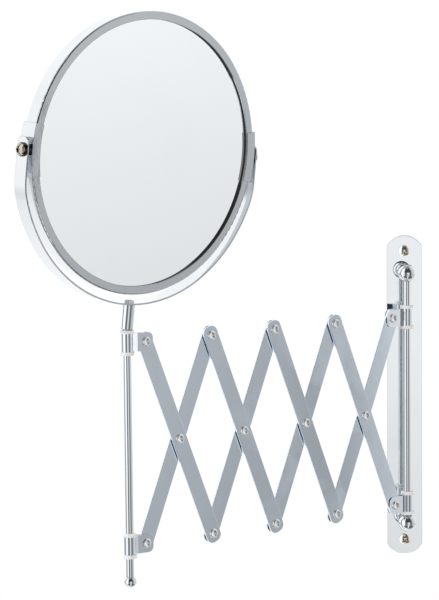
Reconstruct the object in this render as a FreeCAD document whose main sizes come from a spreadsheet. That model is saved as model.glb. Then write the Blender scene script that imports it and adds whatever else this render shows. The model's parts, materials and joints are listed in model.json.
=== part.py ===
"""Extendable shaving mirror: a scissor arm on a wall rod, carrying a round mirror that pans and flips.

Frame: origin at the centre of the wall plate's back face, +Y into the wall, +X right, +Z up, millimetres.
"""
import FreeCAD
import Part
import math
import os

import Sketcher
from FreeCAD import Placement, Rotation, Vector

DIMENSIONS = (
    # wall mount
    ("plate_width", 24.4, "wall plate, side to side"),
    ("plate_height", 221.0, "wall plate, apex to apex"),
    ("plate_thickness", 2.0, "wall plate sheet"),
    ("plate_end_radius", 14.0, "arch at each end of the plate"),
    ("plate_edge_radius", 0.4, "rounding of the plate's front edge"),
    ("wall_screw_spacing", 200.0, "wall screws, centre to centre"),
    ("wall_screw_radius", 2.0, "wall screw behind the plate"),
    ("wall_screw_neck_radius", 2.2, "wall screw inside the plate"),
    ("wall_screw_length", 28.0, "wall screw behind the plate"),
    ("wall_screw_head_radius", 3.7, "wall screw head"),
    ("wall_screw_head_height", 2.3, "wall screw head"),
    ("post_spacing", 171.6, "ball posts, centre to centre"),
    ("post_neck_radius", 3.0, "neck between plate and ball"),
    ("post_foot_radius", 3.9, "foot of the post on the plate"),
    ("post_foot_height", 1.2, "foot of the post on the plate"),
    ("post_ball_radius", 6.0, "ball that holds the wall rod"),
    ("post_screw_radius", 2.0, "screw from behind into the post"),
    ("post_screw_depth", 7.0, "screw's reach into the post"),
    ("post_screw_head_radius", 3.5, "its sunk head"),
    ("post_screw_head_height", 1.1, "its sunk head"),
    ("rod_standoff", 17.0, "wall rod axis to the wall"),
    ("rod_radius", 2.5, "wall rod and mirror rod"),
    # brackets
    ("bush_bore_radius", 2.55, "running fit on the rods"),
    ("bush_spigot_radius", 3.0, "bush inside the strap"),
    ("bush_spigot_length", 5.2, "bush inside the strap"),
    ("bush_flange_radius", 4.4, "flange at the strap's end"),
    ("bush_flange_height", 2.0, "flange at the strap's end"),
    ("strap_thickness", 0.6, "strap and tabs"),
    ("strap_height", 11.6, "strap, along the rod"),
    ("strap_pinch", 3.45, "rod axis to where the strap's outside leaves the round"),
    ("strap_inner_pinch", 2.98, "rod axis to where the strap's inside leaves the round"),
    ("strap_tab_start", 6.2, "rod axis to where the tabs run straight"),
    ("tab_reach", 5.2, "tab past its rivet"),
    ("tab_corner_radius", 3.6, "rounding of the tab's corners"),
    ("bracket_offset", 12.8, "rod axis to the rivet in the tabs"),
    # scissor arm
    ("link_length", 138.0, "outer holes of a link, centre to centre"),
    ("link_width", 11.0, "link strip"),
    ("link_thickness", 1.5, "link strip"),
    ("link_end", 6.0, "strip past its outer holes"),
    ("link_corner_radius", 4.6, "rounding of the strip's corners"),
    ("link_edge_radius", 0.25, "rounding of the strip's face edges"),
    ("link_gap", 0.6, "between front and back links"),
    ("side_gap", 0.15, "faces that slide past each other"),
    ("pin_radius", 1.6, "rivet shank"),
    ("pin_bore_radius", 1.67, "hole that turns on a rivet"),
    ("rivet_head_radius", 3.2, "rivet's front head"),
    ("rivet_head_height", 1.0, "rivet's front head"),
    ("rivet_dimple_radius", 1.2, "hollow in the head"),
    ("rivet_dimple_depth", 0.55, "hollow in the head"),
    ("rivet_tail_radius", 2.7, "rolled tail"),
    ("rivet_tail_height", 0.9, "rolled tail"),
    ("washer_radius", 3.2, "washer between links"),
    ("washer_thickness", 0.5, "washer between links"),
    ("rest_angle", 22.0, "links off upright at rest, degrees"),
    ("rest_swing", 35.2, "arm off the wall at rest, degrees"),
    ("lower_pivot_height", -72.0, "lower rivets above the plate's centre"),
    # mirror stem
    ("rod_end_drop", 22.9, "end ball below the lower rivets"),
    ("end_ball_radius", 4.0, "ball on the mirror rod's lower end"),
    ("stem_rise", 10.0, "bend of the rod above the upper rivets"),
    ("stud_radius", 2.0, "rod's reduced end through ferrule, yoke and nut"),
    ("stud_length", 17.2, "rod's reduced end"),
    ("ferrule_radius", 4.0, "ferrule between bush and yoke"),
    ("ferrule_drop", 1.5, "ferrule below the rod's bend"),
    ("ferrule_bore_depth", 4.0, "wide bore that takes the rod's end"),
    ("ferrule_bore_radius", 2.9, "wide bore that takes the rod's end"),
    ("head_rise", 108.3, "pivot line above the rod's bend, along the leaning axis"),
    ("head_yaw", 39.0, "mirror off the wall at rest, degrees"),
    ("head_forward_lean", 4.9, "yoke leans towards the glass, degrees"),
    ("head_side_lean", 3.1, "yoke leans sideways, degrees"),
    ("yoke_radius", 94.0, "yoke's outer face, round the pivot line's middle"),
    ("yoke_half_span", 91.2, "outer face of the straight arms"),
    ("yoke_bend_radius", 40.0, "outer face, where the arms run into the round"),
    ("yoke_thickness", 1.0, "yoke strip"),
    ("yoke_width", 10.6, "yoke strip"),
    ("yoke_top", 8.0, "arm past the pivot"),
    ("yoke_corner_radius", 4.6, "rounding of the arm's end"),
    ("yoke_hole_radius", 2.1, "holes for stud and pivot screws"),
    ("yoke_nut_flats", 6.0, "nut inside the yoke, across flats"),
    ("yoke_nut_height", 1.6, "nut inside the yoke"),
    # mirror head
    ("frame_radius", 87.5, "outside of the mirror frame"),
    ("frame_depth", 10.6, "mirror frame, face to face"),
    ("frame_lip_radius", 82.3, "inner edge of the bezel"),
    ("frame_sheet", 0.8, "channel wall"),
    ("frame_edge_radius", 0.9, "rounding of the frame's outer edges"),
    ("frame_slit", 0.6, "where the channel's ends meet, under a saddle clip"),
    ("glass_radius", 84.8, "both glasses"),
    ("glass_thickness", 2.0, "plain glass"),
    ("gasket_thickness", 1.0, "black ring between bezel and plain glass"),
    ("magnifier_thickness", 2.0, "magnifying glass"),
    ("magnifier_curve", 1000.0, "radius of its hollow face"),
    ("spacer_inner_radius", 78.0, "ring between the glasses"),
    ("saddle_sheet", 0.8, "saddle clip"),
    ("saddle_clearance", 0.05, "saddle clip to frame"),
    ("saddle_half_angle", 10.7, "saddle clip either side of its pivot, degrees"),
    ("pivot_shank_radius", 2.0, "pivot screw"),
    ("pivot_head_radius", 4.0, "pivot screw head"),
    ("pivot_head_height", 2.4, "pivot screw head"),
    ("pivot_washer_radius", 4.3, "washer under the head"),
    ("pivot_washer_thickness", 0.9, "washer under the head"),
    ("pivot_spacer_radius", 3.6, "spacer between yoke and saddle clip"),
    ("pivot_nut_side", 6.4, "square nut in the channel"),
    ("pivot_nut_thickness", 1.5, "square nut in the channel"),
    ("recess_span", 4.0, "cross recess, tip to tip"),
    ("recess_slot", 0.9, "cross recess, width of a slot"),
    ("recess_depth", 1.3, "cross recess"),
    # small details of the turned pieces
    ("machine_screw_bevel", 0.4, "end of a pivot screw"),
    ("wall_screw_point", 4.0, "pointed end of a wall screw"),
    ("tapping_allowance", 0.5, "post's tapped hole past the screw's end"),
    ("post_screw_inset", 0.1, "post screw's head behind the plate's back"),
    ("rod_seat", 1.0, "how far the rod enters a post's ball"),
    ("tail_hollow_depth", 0.4, "hollow in a rivet's tail"),
    ("ferrule_bevel", 0.3, "lower end of the ferrule"),
    ("glass_bevel", 0.5, "front edge of the plain glass"),
)

SHEET_NAME = "Dimensions"


class Size:
    """A number together with the sheet expression that it comes from."""

    def __init__(self, value, text):
        self.value = float(value)
        self.text = text

    def __add__(self, other):
        other = as_size(other)
        return Size(self.value + other.value, f"({self.text} + {other.text})")

    def __sub__(self, other):
        other = as_size(other)
        return Size(self.value - other.value, f"({self.text} - {other.text})")

    def __mul__(self, other):
        other = as_size(other)
        return Size(self.value * other.value, f"({self.text} * {other.text})")

    def __truediv__(self, other):
        other = as_size(other)
        return Size(self.value / other.value, f"({self.text} / {other.text})")

    def __neg__(self):
        return Size(-self.value, f"(0 - {self.text})")

    __radd__ = __add__


def as_size(number):
    return number if isinstance(number, Size) else Size(number, repr(float(number)))


def chord_height(radius, half_chord):
    """Distance from a circle's centre to a chord, as a Size."""
    value = math.sqrt(radius.value ** 2 - half_chord.value ** 2)
    return Size(value, f"sqrt({radius.text} ^ 2 - {half_chord.text} ^ 2)")


class Sheet:
    """The driving dimensions, read as attributes of Size."""

    def __init__(self, document):
        cells = document.addObject("Spreadsheet::Sheet", SHEET_NAME)
        for row, (alias, value, note) in enumerate(DIMENSIONS, start=1):
            cells.set(f"A{row}", note)
            cells.set(f"B{row}", str(value))
            cells.setAlias(f"B{row}", alias)
            setattr(self, alias, Size(value, f"{SHEET_NAME}.{alias}"))
        document.recompute()


doc = FreeCAD.newDocument("ShavingMirror")
dim = Sheet(doc)
exported = []


# ---------------------------------------------------------------- drawing helpers

def bind(thing, prop, size):
    thing.setExpression(prop, as_size(size).text)


def new_body(name, placement):
    body = doc.addObject("PartDesign::Body", name)
    body.Label = name
    body.AllowCompound = True
    body.Placement = placement
    exported.append(body)
    return body


def new_sketch(body, name, role="XY_Plane", offset=0):
    """A sketch on one of the body's own origin planes, lifted along the plane's normal."""
    plane = next(item for item in body.Origin.OriginFeatures if item.Role == role)
    sketch = body.newObject("Sketcher::SketchObject", name)
    sketch.AttachmentSupport = [(plane, "")]
    sketch.MapMode = "FlatFace"
    if as_size(offset).value:
        bind(sketch, "AttachmentOffset.Base.z", offset)
    return sketch


def pin(sketch, edge, point, x, y):
    """Hold a sketch point at (x, y)."""
    for kind, size, axis in (("DistanceX", as_size(x), -2), ("DistanceY", as_size(y), -1)):
        if size.value == 0:
            sketch.addConstraint(Sketcher.Constraint("PointOnObject", edge, point, axis))
        else:
            index = sketch.addConstraint(Sketcher.Constraint(kind, -1, 1, edge, point, size.value))
            bind(sketch, f"Constraints[{index}]", size)


def arc_between(start, end, radius):
    """The short arc from start to end: anticlockwise for a positive radius, clockwise for a negative one."""
    middle = (start + end) * 0.5
    along = end - start
    half = along.Length / 2
    side = Vector(-along.y, along.x, 0).normalize()
    rise = math.sqrt(max(radius ** 2 - half ** 2, 0.0))
    centre = middle + side * math.copysign(rise, radius)
    first, last = (start, end) if radius > 0 else (end, start)
    angles = [math.atan2(point.y - centre.y, point.x - centre.x) for point in (first, last)]
    if angles[1] < angles[0]:
        angles[1] += 2 * math.pi
    return Part.ArcOfCircle(Part.Circle(centre, Vector(0, 0, 1), abs(radius)), angles[0], angles[1])


def draw_outline(sketch, corners):
    """Draw a closed outline. A corner is (x, y), or (x, y, radius) where an arc leads to the next corner."""
    points = [Vector(as_size(corner[0]).value, as_size(corner[1]).value, 0) for corner in corners]
    edges = []
    for number, corner in enumerate(corners):
        start, end = points[number], points[(number + 1) % len(points)]
        if len(corner) == 3:
            radius = as_size(corner[2])
            edge = sketch.addGeometry(arc_between(start, end, radius.value), False)
            first, last = (1, 2) if radius.value > 0 else (2, 1)
            size = radius if radius.value > 0 else -radius
            index = sketch.addConstraint(Sketcher.Constraint("Radius", edge, size.value))
            bind(sketch, f"Constraints[{index}]", size)
        else:
            edge = sketch.addGeometry(Part.LineSegment(start, end), False)
            first, last = 1, 2
        edges.append((edge, first, last))
        pin(sketch, edge, first, corner[0], corner[1])
    for number, (edge, _, last) in enumerate(edges):
        following, first, _ = edges[(number + 1) % len(edges)]
        sketch.addConstraint(Sketcher.Constraint("Coincident", edge, last, following, first))


def draw_circle(sketch, x, y, radius):
    circle = Part.Circle(Vector(as_size(x).value, as_size(y).value, 0), Vector(0, 0, 1), radius.value)
    edge = sketch.addGeometry(circle, False)
    index = sketch.addConstraint(Sketcher.Constraint("Radius", edge, radius.value))
    bind(sketch, f"Constraints[{index}]", radius)
    pin(sketch, edge, 3, x, y)


def pad(body, sketch, length, midplane=False):
    feature = body.newObject("PartDesign::Pad", f"{body.Name}_pad")
    feature.Profile = sketch
    feature.Midplane = midplane
    bind(feature, "Length", length)
    doc.recompute()
    return feature


def pocket(body, sketch, depth=None, reverse=False):
    """Cut a sketch out of the body, to a depth or right through both ways, and make sure that it cuts."""
    before = body.Shape.Volume
    feature = body.newObject("PartDesign::Pocket", f"{body.Name}_pocket")
    feature.Profile = sketch
    feature.Reversed = reverse
    if depth is None:
        feature.Type = "ThroughAll"
        feature.Midplane = True
    else:
        bind(feature, "Length", depth)
    doc.recompute()
    if body.Shape.Volume >= before:
        raise RuntimeError(f"{body.Name}: the pocket cuts nothing")
    return feature


def revolve(body, sketch, angle=360.0):
    """Turn a sketch about its own horizontal axis, evenly to both sides of its plane."""
    feature = body.newObject("PartDesign::Revolution", f"{body.Name}_turning")
    feature.Profile = sketch
    feature.ReferenceAxis = (sketch, ["H_Axis"])
    angle = as_size(angle)
    if angle.value < 360:
        feature.Midplane = True
        bind(feature, "Angle", angle)
    doc.recompute()
    return feature


def round_edges(body, radius, wanted):
    """Fillet the edges of the body's shape for which wanted(edge) is true."""
    base = body.Tip
    edges = base.Shape.Edges
    names = [f"Edge{number}" for number, edge in enumerate(edges, start=1) if wanted(edge)]
    if not names:
        raise RuntimeError(f"{body.Name}: no edge to round")
    fillet = body.newObject("PartDesign::Fillet", f"{body.Name}_rounding")
    fillet.Base = (base, names)
    bind(fillet, "Radius", radius)
    doc.recompute()


def turned(name, placement, *profiles):
    """A turned piece, or like pieces on one axis: each profile is (along the axis, radius) corners."""
    body = new_body(name, placement)
    sketch = new_sketch(body, f"{name}_profile")
    for corners in profiles:
        draw_outline(sketch, corners)
    revolve(body, sketch)
    return body


def tube(start, end, inner, outer):
    """Profile of a plain ring or tube between two places on its axis."""
    return [(start, inner), (end, inner), (end, outer), (start, outer)]


def cut_cross_recess(body, top):
    """Cut a cross for a screwdriver into a head whose top lies at this place on the body's X axis."""
    reach, half = dim.recess_span / 2, dim.recess_slot / 2
    cross = []
    for x_sign, y_sign in ((1, 1), (-1, 1), (-1, -1), (1, -1)):
        outer = [(reach * x_sign, half * y_sign), (half * x_sign, half * y_sign),
                 (half * x_sign, reach * y_sign)]
        cross += outer if x_sign == y_sign else outer[::-1]
    sketch = new_sketch(body, f"{body.Name}_recess", "YZ_Plane", top)
    draw_outline(sketch, cross)
    pocket(body, sketch, dim.recess_depth)


def screw(name, placement, neck_radius, neck, shank_radius, length, head_radius, head_height, point=None):
    """A domed cross-head screw: its head stands on X = 0, its neck and shank lie behind."""
    tip = point or dim.machine_screw_bevel
    edge = head_height * 0.35
    rise = head_height - edge
    dome = (head_radius * head_radius + rise * rise) / (rise * 2)
    corners = [(-(neck + length), 0), (head_height, 0, dome), (edge, head_radius), (0, head_radius),
               (0, neck_radius)]
    if neck.value:
        corners += [(-neck, neck_radius), (-neck, shank_radius)]
    corners.append((tip - neck - length, shank_radius))
    if not point:
        corners.append((-(neck + length), shank_radius - tip))
    body = turned(name, placement, corners)
    cut_cross_recess(body, head_height)
    return body


def place(x=0.0, y=0.0, z=0.0, rotation=None):
    return Placement(Vector(x, y, z), rotation or Rotation())


def along(direction, up=Vector(0, 0, 1)):
    """Rotation that takes a body's X axis along a direction, with its Z axis as near to up as it can be."""
    return Rotation(direction, up.cross(direction), up, "XZY")


# ---------------------------------------------------------------- places at rest

TO_ROOM = along(Vector(0, -1, 0))
TO_WALL = along(Vector(0, 1, 0))
UPRIGHT = along(Vector(0, 0, 1), Vector(0, -1, 0))

wall_axis = Vector(0, -dim.rod_standoff.value, 0)
arm = Placement(wall_axis, Rotation(Vector(0, 0, 1), 180 + dim.rest_swing.value))
ARM_FRONT = Vector(0, 1, 0)

slant = math.radians(dim.rest_angle.value)
bay_size = dim.link_length * Size(math.sin(slant), f"sin({dim.rest_angle.text})")
lift_size = dim.link_length * Size(math.cos(slant), f"cos({dim.rest_angle.text})")
bay, lift = bay_size.value, lift_size.value
low = dim.lower_pivot_height.value
high = low + lift
reach = 4 * bay + 2 * dim.bracket_offset.value


def pivot(column, level):
    """Place in the arm of a rivet column, at level 0 (lower), 0.5 (middle) or 1 (upper)."""
    return Vector(dim.bracket_offset.value + column * bay, 0, low + level * lift)


stem_axis = arm.multVec(Vector(reach, 0, 0))
bend = Vector(stem_axis.x, stem_axis.y, high + dim.stem_rise.value)
yaw = Rotation(Vector(0, 0, 1), dim.head_yaw.value)
forward = Rotation(Vector(1, 0, 0), dim.head_forward_lean.value)
sideways = Rotation(Vector(0, 1, 0), dim.head_side_lean.value)
# the head's own frame: X across to the right pivot, -Y out of the plain glass, Z up the yoke
head_turn = yaw * forward * sideways
head_centre = bend + head_turn.multVec(Vector(0, 0, dim.head_rise.value))
head = Placement(head_centre, head_turn)


# ---------------------------------------------------------------- wall mount

def make_wall_plate():
    body = new_body("wall_plate", place())
    half_width = dim.plate_width / 2
    shoulder = dim.plate_height / 2 - dim.plate_end_radius + chord_height(dim.plate_end_radius, half_width)
    outline = new_sketch(body, "wall_plate_outline", "XZ_Plane")
    draw_outline(outline, [
        (half_width, -shoulder), (half_width, shoulder, dim.plate_end_radius),
        (-half_width, shoulder), (-half_width, -shoulder, dim.plate_end_radius)])
    pad(body, outline, dim.plate_thickness)
    holes = new_sketch(body, "wall_plate_holes", "XZ_Plane")
    sunk = new_sketch(body, "wall_plate_sinkings", "XZ_Plane")
    for side in (1, -1):
        draw_circle(holes, 0, dim.wall_screw_spacing / 2 * side, dim.wall_screw_neck_radius + dim.side_gap)
        draw_circle(holes, 0, dim.post_spacing / 2 * side, dim.post_screw_radius)
        draw_circle(sunk, 0, dim.post_spacing / 2 * side, dim.post_screw_head_radius)
    pocket(body, holes)
    pocket(body, sunk, dim.post_screw_head_height, reverse=True)
    front = -dim.plate_thickness.value
    hole_size = dim.post_screw_head_radius.value + 1
    round_edges(body, dim.plate_edge_radius, lambda edge: (
        all(abs(vertex.Y - front) < 1e-6 for vertex in edge.Vertexes)
        and edge.BoundBox.DiagonalLength > 2 * hole_size))


def make_wall_rod():
    rod = doc.addObject("Part::Cylinder", "wall_rod")
    rod.Label = "wall_rod"
    bind(rod, "Radius", dim.rod_radius)
    bind(rod, "Height", dim.post_spacing - dim.rod_seat * 2)
    rod.Placement = place(0, -dim.rod_standoff.value, dim.rod_seat.value - dim.post_spacing.value / 2)
    exported.append(rod)


def make_ball_post(name, side):
    """A post with a ball on its end, bored for the rod on the side that faces the other post."""
    ball_centre = dim.rod_standoff
    ball = dim.post_ball_radius
    start = dim.plate_thickness
    joint = ball_centre - chord_height(ball, dim.post_neck_radius)
    foot = start + dim.post_foot_height
    body = turned(name, place(0, 0, side * dim.post_spacing.value / 2, TO_ROOM), [
        (start, 0), (ball_centre + ball, 0, ball), (ball_centre, ball, ball),
        (joint, dim.post_neck_radius), (foot, dim.post_neck_radius), (foot, dim.post_foot_radius),
        (start, dim.post_foot_radius)])
    tapped = new_sketch(body, f"{name}_tapping", "YZ_Plane", start)
    draw_circle(tapped, 0, 0, dim.post_screw_radius)
    pocket(body, tapped, dim.post_screw_depth - start + dim.tapping_allowance, reverse=True)
    seat = new_sketch(body, f"{name}_rod_seat", "XY_Plane", dim.rod_seat * -side)
    draw_circle(seat, ball_centre, 0, dim.rod_radius)
    pocket(body, seat, ball + 1, reverse=side < 0)


def make_post_screw(name, side):
    head, sink, tip = dim.post_screw_inset, dim.post_screw_head_height, dim.post_screw_depth
    turned(name, place(0, 0, side * dim.post_spacing.value / 2, TO_ROOM), [
        (head, 0), (tip, 0), (tip, dim.post_screw_radius), (sink, dim.post_screw_radius),
        (sink, dim.post_screw_head_radius), (head, dim.post_screw_head_radius)])


def make_wall_screw(name, side):
    screw(name, place(0, -dim.plate_thickness.value, side * dim.wall_screw_spacing.value / 2, TO_ROOM),
          dim.wall_screw_neck_radius, dim.plate_thickness, dim.wall_screw_radius, dim.wall_screw_length,
          dim.wall_screw_head_radius, dim.wall_screw_head_height, dim.wall_screw_point)


# ---------------------------------------------------------------- brackets

def bracket_placement(column, level):
    """Placement of a bracket on its rod: X towards the links, Y to the arm's front."""
    on_wall = column == 0
    along_arm = 0 if on_wall else reach
    turn = Rotation(Vector(0, 0, 1), 0 if on_wall else 180)
    return arm * Placement(Vector(along_arm, 0, low + level * lift), turn)


def make_clip(name, placement, side):
    """A strap pinched round the bushes. Its tabs open again for a front link (side 1) or a back link (-1)."""
    sheet = dim.strap_thickness
    inside, outside = dim.bush_spigot_radius, dim.bush_spigot_radius + sheet
    near = dim.link_gap / 2 - dim.side_gap
    far = dim.link_gap / 2 + dim.link_thickness + dim.side_gap
    end = dim.bracket_offset + dim.tab_reach
    start, start_inside = dim.strap_tab_start, dim.strap_tab_start + sheet / 2
    leave, leave_inside = dim.strap_pinch, dim.strap_inner_pinch
    top = Size(1, "1") * side
    corners = [
        (end, far * top), (end, (far + sheet) * top), (start, (far + sheet) * top),
        (leave, chord_height(outside, leave) * top, outside * side),
        (-outside, 0, outside * side),
        (leave, -chord_height(outside, leave) * top), (start, (near - sheet) * top),
        (end, (near - sheet) * top), (end, near * top), (start_inside, near * top),
        (leave_inside, -chord_height(inside, leave_inside) * top, -inside * side),
        (-inside, 0, -inside * side),
        (leave_inside, chord_height(inside, leave_inside) * top), (start_inside, far * top)]
    body = new_body(name, placement)
    outline = new_sketch(body, f"{name}_outline")
    draw_outline(outline, corners)
    pad(body, outline, dim.strap_height, midplane=True)
    hole = new_sketch(body, f"{name}_hole", "XZ_Plane")
    draw_circle(hole, dim.bracket_offset, 0, dim.pin_radius)
    pocket(body, hole)
    tip = end.value
    round_edges(body, dim.tab_corner_radius, lambda edge: (
        abs(edge.BoundBox.XMin - tip) < 1e-6 and edge.BoundBox.YLength > 0.1
        and edge.BoundBox.ZLength < 1e-6))


def make_bushes(name, placement):
    """Two flanged bushes pushed into the strap, one from each end."""
    half = dim.strap_height / 2
    bore, spigot, flange = dim.bush_bore_radius, dim.bush_spigot_radius, dim.bush_flange_radius
    profiles = []
    for side in (1, -1):
        profiles.append([
            ((half - dim.bush_spigot_length) * side, bore), ((half + dim.bush_flange_height) * side, bore),
            ((half + dim.bush_flange_height) * side, flange), (half * side, flange),
            (half * side, spigot), ((half - dim.bush_spigot_length) * side, spigot)])
    turned(name, placement * Placement(Vector(), UPRIGHT), *profiles)


def make_rivet(name, placement, front, back, gap):
    """A rivet along X: a dimpled head on X = front, its rolled tail a gap behind X = back."""
    dimple = dim.rivet_dimple_radius
    head_top = front + dim.rivet_head_height
    floor = head_top - dim.rivet_dimple_depth
    rim = (dim.rivet_head_radius + dimple) / 2
    tail = back - gap
    tail_top = tail - dim.rivet_tail_height
    tail_floor = tail - dim.tail_hollow_depth
    tail_rim = dim.rivet_tail_radius * 0.6
    turned(name, placement, [
        (tail_floor, 0), (floor, 0), (floor, dimple * 0.5), (head_top, rim, dim.rivet_head_height * 1.2),
        (front, dim.rivet_head_radius), (front, dim.pin_radius), (tail, dim.pin_radius),
        (tail, dim.rivet_tail_radius, dim.rivet_tail_height * 1.4), (tail_top, tail_rim),
        (tail_floor, dimple * 0.8)])


def make_bracket(name, column, level, side):
    placement = bracket_placement(column, level)
    hand = 1 if column == 0 else -1
    make_clip(f"{name}_clip", placement, side * hand)
    make_bushes(f"{name}_bushes", placement)
    front_face = dim.link_gap / 2 + dim.link_thickness + dim.side_gap + dim.strap_thickness
    back_face = dim.link_gap / 2 - dim.side_gap - dim.strap_thickness
    if side < 0:
        front_face, back_face = -back_face, -front_face
    spot = arm * Placement(pivot(column, level), along(ARM_FRONT))
    make_rivet(f"{name}_rivet", spot, front_face, back_face, as_size(0))


# ---------------------------------------------------------------- scissor arm

def make_link(name, start, end, side):
    """A strip from its lower to its upper rivet, in front (side 1) or at the back (side -1)."""
    direction = (end - start).normalize()
    turn = Rotation(direction, ARM_FRONT.cross(direction), ARM_FRONT, "XZY")
    base = dim.link_gap.value / 2 if side > 0 else -dim.link_gap.value / 2 - dim.link_thickness.value
    body = new_body(name, arm * Placement(start + ARM_FRONT * base, turn))
    half, tail, corner = dim.link_width / 2, dim.link_end, dim.link_corner_radius
    length = dim.link_length
    outline = new_sketch(body, f"{name}_outline")
    draw_outline(outline, [
        (corner - tail, -half), (length + tail - corner, -half, corner),
        (length + tail, corner - half), (length + tail, half - corner, corner),
        (length + tail - corner, half), (corner - tail, half, corner),
        (-tail, half - corner), (-tail, corner - half, corner)])
    for share in (0, 0.5, 1):
        draw_circle(outline, length * share, 0, dim.pin_bore_radius)
    pad(body, outline, dim.link_thickness)
    hole_size = 2 * dim.pin_bore_radius.value + 1
    round_edges(body, dim.link_edge_radius, lambda edge: (
        edge.BoundBox.ZLength < 1e-6 and (edge.BoundBox.DiagonalLength > hole_size or edge.Length < hole_size)
        and not (edge.isClosed())))


def make_link_washers(name, spots):
    """The washers that a front link carries on its back, one per (column, level) of its rivets."""
    first_column, first_level = spots[0]
    body = new_body(name, arm * Placement(pivot(first_column, first_level), along(ARM_FRONT)))
    behind = dim.link_gap / 2 - dim.washer_thickness
    sketch = new_sketch(body, f"{name}_outline", "YZ_Plane", behind)
    for column, level in spots:
        for radius in (dim.pin_bore_radius, dim.washer_radius):
            draw_circle(sketch, bay_size * (first_column - column), lift_size * (level - first_level), radius)
    pad(body, sketch, dim.washer_thickness)


def make_scissor():
    front_face = dim.link_gap / 2 + dim.link_thickness
    for number in (1, 2, 3, 4):
        make_link(f"front_link_{number}", pivot(number - 1, 0), pivot(number, 1), 1)
        make_link(f"back_link_{number}", pivot(number, 0), pivot(number - 1, 1), -1)
        spots = [(number - 0.5, 0.5)]
        if number < 4:
            spots.append((number, 1))
        if number > 1:
            spots.append((number - 1, 0))
        make_link_washers(f"link_washers_{number}", spots)
    rivets = [(f"middle_rivet_{number}", number - 0.5, 0.5) for number in (1, 2, 3, 4)]
    rivets += [(f"upper_rivet_{number}", number, 1) for number in (1, 2, 3)]
    rivets += [(f"lower_rivet_{number}", number, 0) for number in (1, 2, 3)]
    for name, column, level in rivets:
        spot = arm * Placement(pivot(column, level), along(ARM_FRONT))
        make_rivet(name, spot, front_face, -front_face, dim.side_gap)


# ---------------------------------------------------------------- mirror stem

def make_mirror_rod():
    """A straight rod whose reduced end leans with the head, inside the ferrule."""
    shaft = doc.addObject("Part::Cylinder", "mirror_rod_shaft")
    bind(shaft, "Radius", dim.rod_radius)
    rod_low = low - dim.rod_end_drop.value
    bind(shaft, "Height", lift_size + dim.stem_rise + dim.rod_end_drop)
    shaft.Placement = place(stem_axis.x, stem_axis.y, rod_low)
    stud = doc.addObject("Part::Cylinder", "mirror_rod_stud")
    bind(stud, "Radius", dim.stud_radius)
    bind(stud, "Height", dim.stud_length + 1)
    stud.Placement = Placement(bend - head_turn.multVec(Vector(0, 0, 1)), head_turn)
    rod = doc.addObject("Part::Fuse", "mirror_rod")
    rod.Label = "mirror_rod"
    rod.Base = shaft
    rod.Tool = stud
    exported.append(rod)


def make_rod_end_ball():
    ball, rod = dim.end_ball_radius, dim.rod_radius
    mouth = chord_height(ball, rod)
    turned("rod_end_ball", place(stem_axis.x, stem_axis.y, low - dim.rod_end_drop.value, UPRIGHT), [
        (-ball, 0), (0, 0), (0, rod), (mouth, rod, ball), (0, ball, ball)])


def stem_turning():
    """Placement of a turned piece on the leaning axis, X up from the rod's bend."""
    return Placement(bend, head_turn * UPRIGHT)


def make_ferrule():
    foot = -dim.ferrule_drop
    top = dim.head_rise - dim.yoke_radius
    step = foot + dim.ferrule_bore_depth
    bevel = dim.ferrule_bevel
    turned("ferrule", stem_turning(), [
        (foot, dim.ferrule_bore_radius), (step, dim.ferrule_bore_radius), (step, dim.stud_radius),
        (top, dim.stud_radius), (top, dim.ferrule_radius), (foot + bevel, dim.ferrule_radius),
        (foot, dim.ferrule_radius - bevel)])


def make_yoke():
    """A strip bent round the mirror, with straight arms at the pivots and a bend between arm and round."""
    body = new_body("yoke", head)
    outer, sheet, bend_outer = dim.yoke_radius, dim.yoke_thickness, dim.yoke_bend_radius
    inner, bend_inner = outer - sheet, bend_outer - sheet
    span, top = dim.yoke_half_span, dim.yoke_top
    inner_span = span - sheet
    bend_across = span - bend_outer
    bend_drop = chord_height(outer - bend_outer, bend_across)
    outer_scale, inner_scale = outer / (outer - bend_outer), inner / (outer - bend_outer)
    outer_end = (bend_across * outer_scale, -(bend_drop * outer_scale))
    inner_end = (bend_across * inner_scale, -(bend_drop * inner_scale))
    outline = new_sketch(body, "yoke_outline", "XZ_Plane")
    draw_outline(outline, [
        (-span, top), (-span, -bend_drop, bend_outer), (-outer_end[0], outer_end[1], outer),
        (*outer_end, bend_outer), (span, -bend_drop), (span, top), (inner_span, top),
        (inner_span, -bend_drop, -bend_inner), (*inner_end, -inner),
        (-inner_end[0], inner_end[1], -bend_inner), (-inner_span, -bend_drop), (-inner_span, top)])
    pad(body, outline, dim.yoke_width, midplane=True)
    pivots = new_sketch(body, "yoke_pivot_holes", "YZ_Plane")
    draw_circle(pivots, 0, 0, dim.yoke_hole_radius)
    pocket(body, pivots)
    foot = new_sketch(body, "yoke_stud_hole", "XY_Plane")
    draw_circle(foot, 0, 0, dim.yoke_hole_radius)
    pocket(body, foot)
    crest = top.value
    round_edges(body, dim.yoke_corner_radius, lambda edge: (
        abs(edge.BoundBox.ZMin - crest) < 1e-6 and edge.BoundBox.XLength > 0.1
        and edge.BoundBox.YLength < 1e-6))


def make_yoke_nut():
    """A hexagon nut on the stud; two of its points rest on the yoke's hollow side."""
    body = new_body("yoke_nut", Placement(bend, head_turn))
    half = dim.yoke_nut_flats / 2
    point = dim.yoke_nut_flats / Size(math.sqrt(3), "sqrt(3)")
    level = dim.head_rise - chord_height(dim.yoke_radius - dim.yoke_thickness, point)
    sketch = new_sketch(body, "yoke_nut_outline", "XY_Plane", level)
    draw_outline(sketch, [
        (point, 0), (point / 2, half), (-(point / 2), half), (-point, 0), (-(point / 2), -half),
        (point / 2, -half)])
    draw_circle(sketch, 0, 0, dim.stud_radius)
    pad(body, sketch, dim.yoke_nut_height)


# ---------------------------------------------------------------- mirror head

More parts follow.
